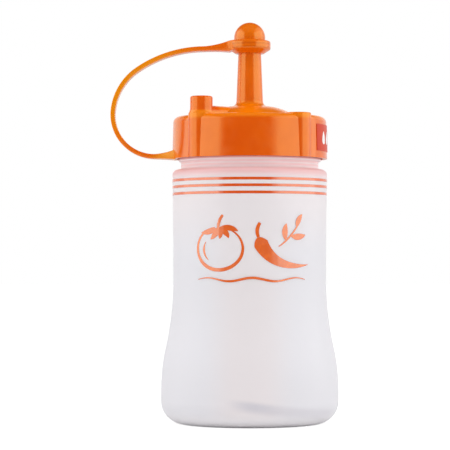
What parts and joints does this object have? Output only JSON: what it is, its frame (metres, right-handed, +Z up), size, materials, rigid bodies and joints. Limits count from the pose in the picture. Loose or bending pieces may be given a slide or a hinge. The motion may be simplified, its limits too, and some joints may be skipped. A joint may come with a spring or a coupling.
{
  "type": "sauce bottle",
  "caption": "Waisted squeeze bottle for sauce with a screw cap, a tapered nozzle, a parking post and a small domed cap on a looped strap.",
  "frame": {"origin": "centre of the bottle's foot, on the surface that it stands on", "axes": "+Z up along the bottle's axis, -Y towards the viewer, -X towards the loop of the strap"},
  "size_m": [0.0956, 0.0744, 0.1682],
  "materials": {
    "bottle": "frosted translucent blown plastic",
    "seal": "soft foam washer",
    "cap": "glossy moulded plastic",
    "strap": "glossy flexible moulded plastic",
    "tip": "glossy moulded plastic",
    "label": "satin printed film"
  },
  "bodies": {
    "bottle": {"bottle_body": "bottle"},
    "seal": {"seal_liner": "seal"},
    "cap": {"screw_cap": "cap", "tether_strap": "strap", "side_label": "label"},
    "tip": {"tip_cap": "tip"}
  },
  "joints": [
    {"name": "cap_lift", "type": "slide", "parent": "bottle", "child": "seal", "axis": [0, 0, 1], "range_m": [0, 0.015]},
    {"name": "cap_turn", "type": "hinge", "parent": "seal", "child": "cap", "pos_m": [0, 0, 0.1184], "axis": [0, 0, 1], "range_deg": [0, 1080]},
    {"name": "tip_cap_pull", "type": "slide", "parent": "cap", "child": "tip", "axis": [0, 0, 1], "range_m": [0, 0.018], "deforming": ["tether_strap"]}
  ],
  "couplings": [
    {"joint": "cap_turn", "follows": "cap_lift", "rad_per_m": 1256.6}
  ]
}
